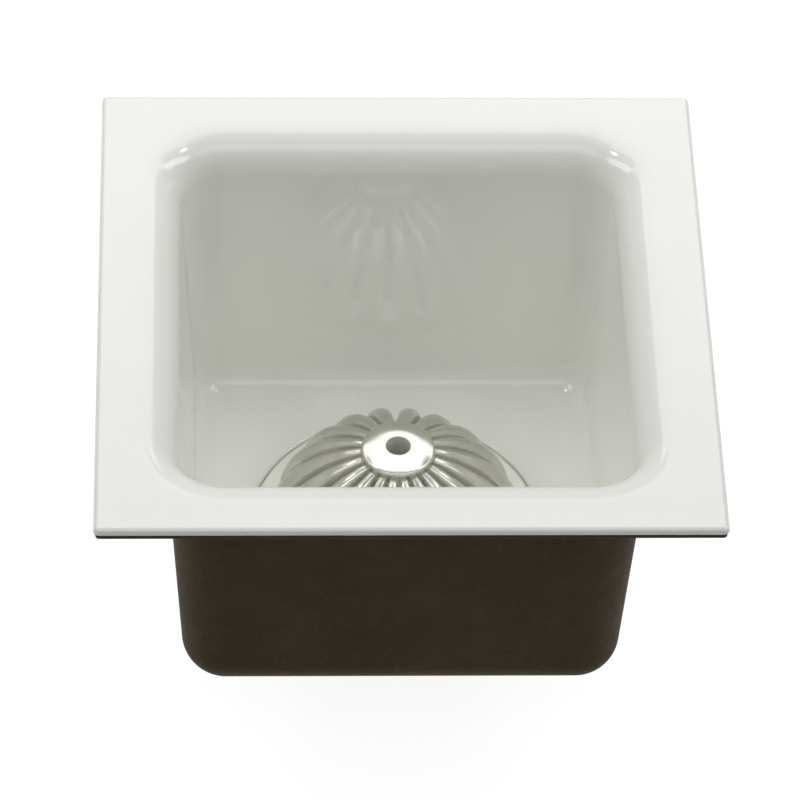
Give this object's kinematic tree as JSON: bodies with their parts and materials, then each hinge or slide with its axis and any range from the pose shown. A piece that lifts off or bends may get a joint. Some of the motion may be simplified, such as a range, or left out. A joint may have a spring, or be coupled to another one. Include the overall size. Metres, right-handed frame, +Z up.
{
  "type": "floor sink",
  "caption": "Square cast iron floor sink with a flat rim, rolled lip, white enamelled sump, lift-out slotted dome strainer and plain outlet spigot.",
  "frame": {"origin": "on the outlet's vertical axis, in the plane of the outlet spigot's lower end, which is the lowest plane of the part", "axes": "+Z up along the outlet's axis, out through the open bowl; X and Y along the sides of the square rim"},
  "size_m": [0.3048, 0.3048, 0.222],
  "materials": {
    "sink_body": "sand-cast, coated black-brown, matt",
    "enamel_lining": "opaque white porcelain enamel, gloss",
    "dome_strainer": "cast, satin"
  },
  "bodies": {
    "sink": {"sink_body": "sink_body", "enamel_lining": "enamel_lining"},
    "strainer": {"dome_strainer": "dome_strainer"}
  },
  "joints": [
    {"name": "strainer_lift", "type": "slide", "parent": "sink", "child": "strainer", "axis": [0, 0, 1], "range_m": [0, 0.175]}
  ]
}
